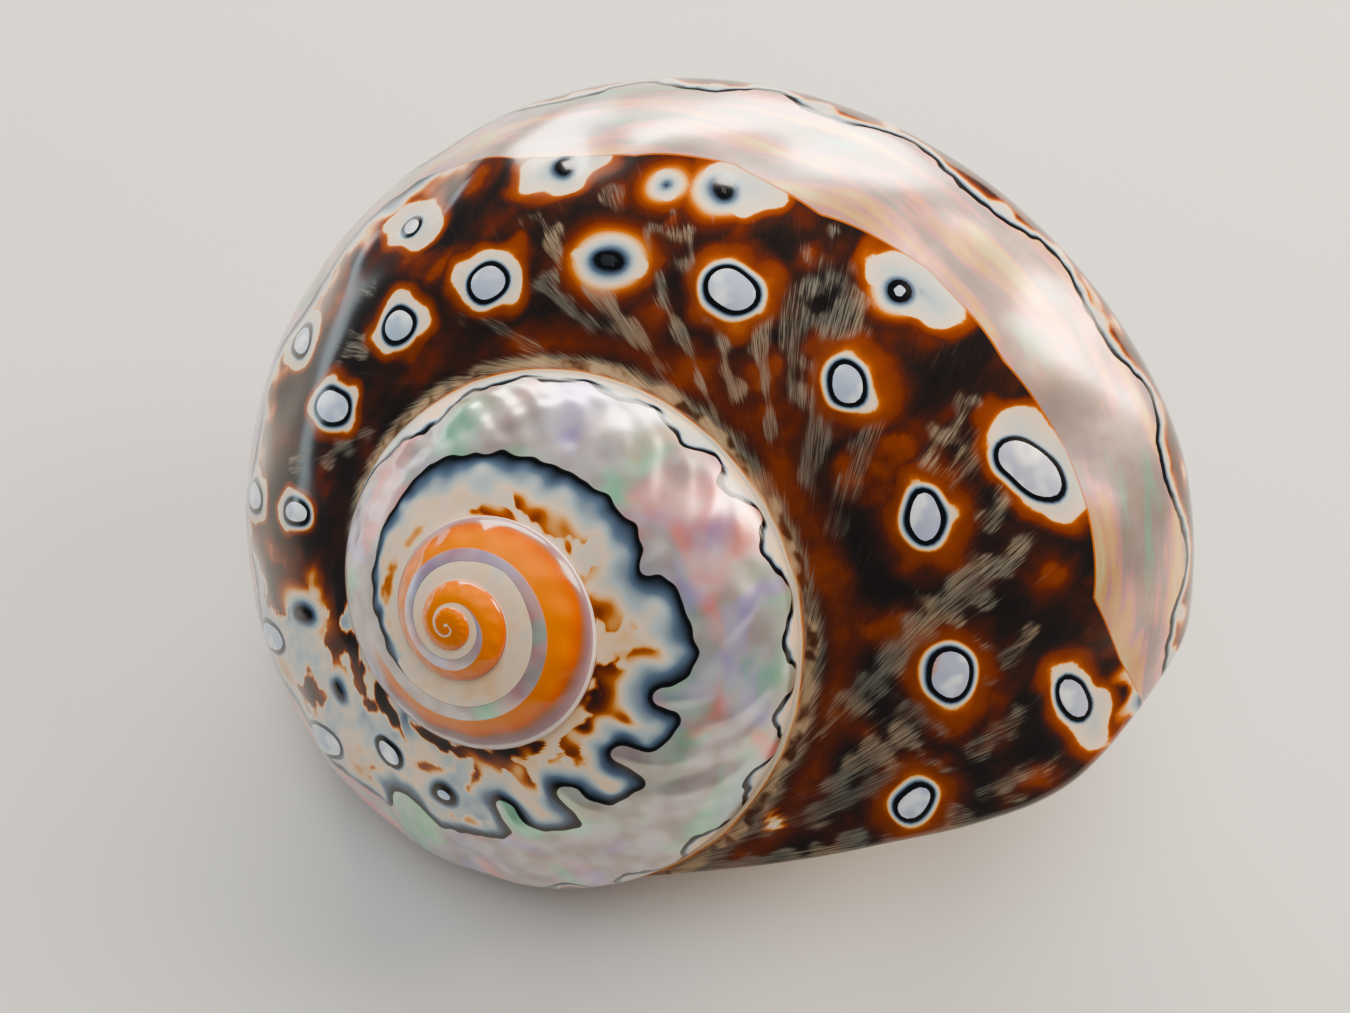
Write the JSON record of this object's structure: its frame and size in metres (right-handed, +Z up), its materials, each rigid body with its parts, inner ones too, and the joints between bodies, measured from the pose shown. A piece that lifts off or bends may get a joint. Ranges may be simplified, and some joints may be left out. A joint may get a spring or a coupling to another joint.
{
  "type": "turban shell",
  "caption": "Polished turban shell: a low coiled spire, a broad rounded body whorl with a shoulder keel, and a hollow open mouth that it rests on.",
  "frame": {"origin": "on the resting plane, below the middle of the bounding box", "axes": "+Z up as the shell lies mouth down, +X along its longest extent, -Y on the side that the mouth opens to"},
  "size_m": [0.0818, 0.0638, 0.0435],
  "materials": {
    "polished_shell": "polished and glossy: brown outer layer with nacre spots, pearly nacre keel, orange early whorls, nacre mouth"
  },
  "bodies": {
    "root": {"turban_shell": "polished_shell"}
  },
  "joints": []
}
